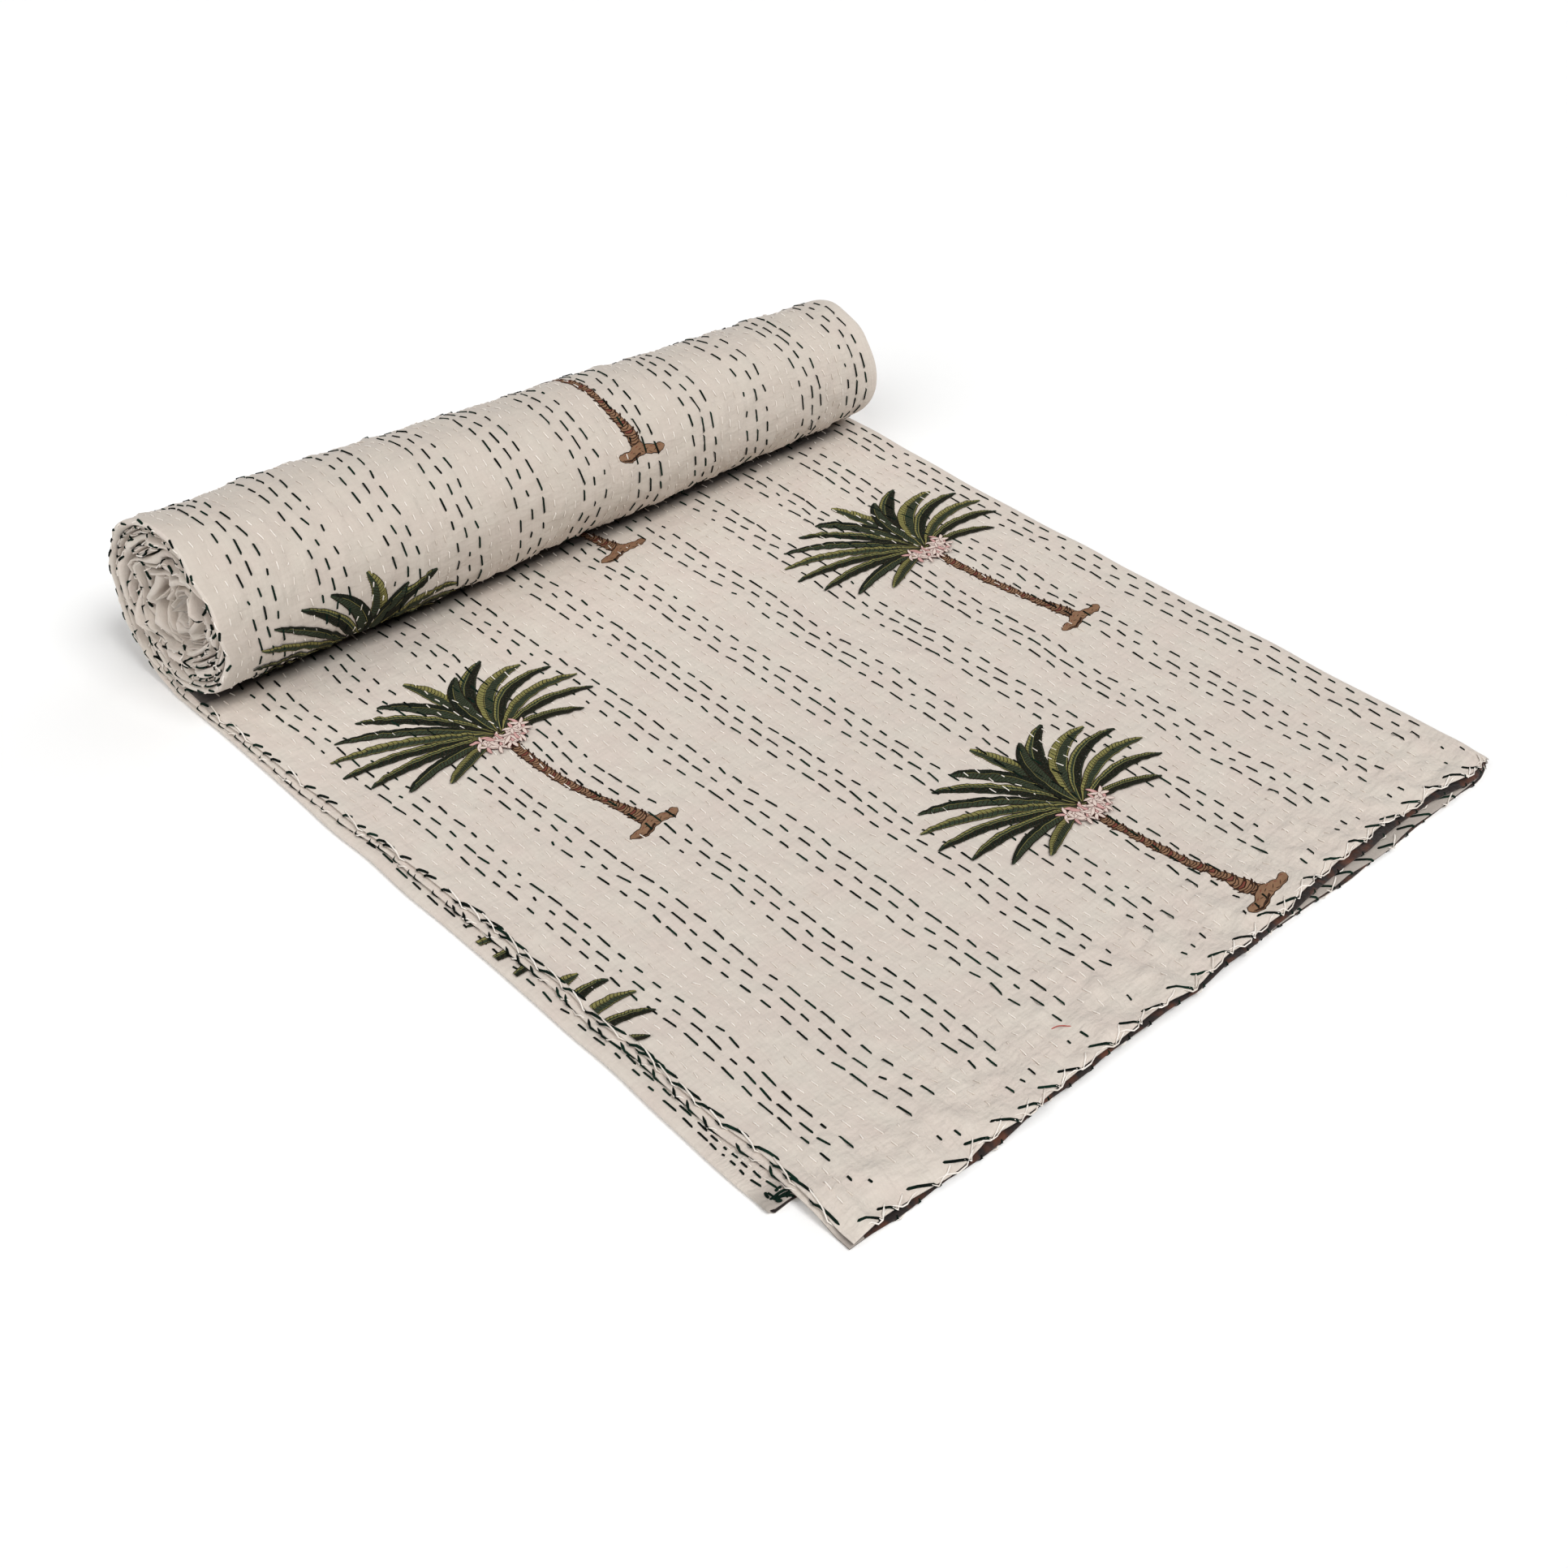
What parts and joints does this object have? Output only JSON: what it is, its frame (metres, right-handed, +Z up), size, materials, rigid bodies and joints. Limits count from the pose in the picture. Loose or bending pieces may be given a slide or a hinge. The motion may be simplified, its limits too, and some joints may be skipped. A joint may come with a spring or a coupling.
{
  "type": "folded and rolled kantha quilt",
  "caption": "Thin hand-stitched cotton quilt folded in layers along its length, lying flat with its far end rolled up on top.",
  "frame": {"origin": "under the middle of the quilt's box, on the surface it lies on", "axes": "+Y along the quilt from the near hem to the rolled end, +X across it from the open hems to the wide fold, +Z up"},
  "size_m": [0.5904, 0.6667, 0.1264],
  "materials": {
    "quilted_cotton": "matt washed cotton with hand running stitches and a sparse palm print",
    "thread_green": "dark green cotton embroidery thread, slight sheen",
    "thread_cream": "cream cotton embroidery thread, slight sheen",
    "thread_pink": "one loose pink-red thread end"
  },
  "bodies": {
    "root": {"quilt": "quilted_cotton"}
  },
  "joints": []
}
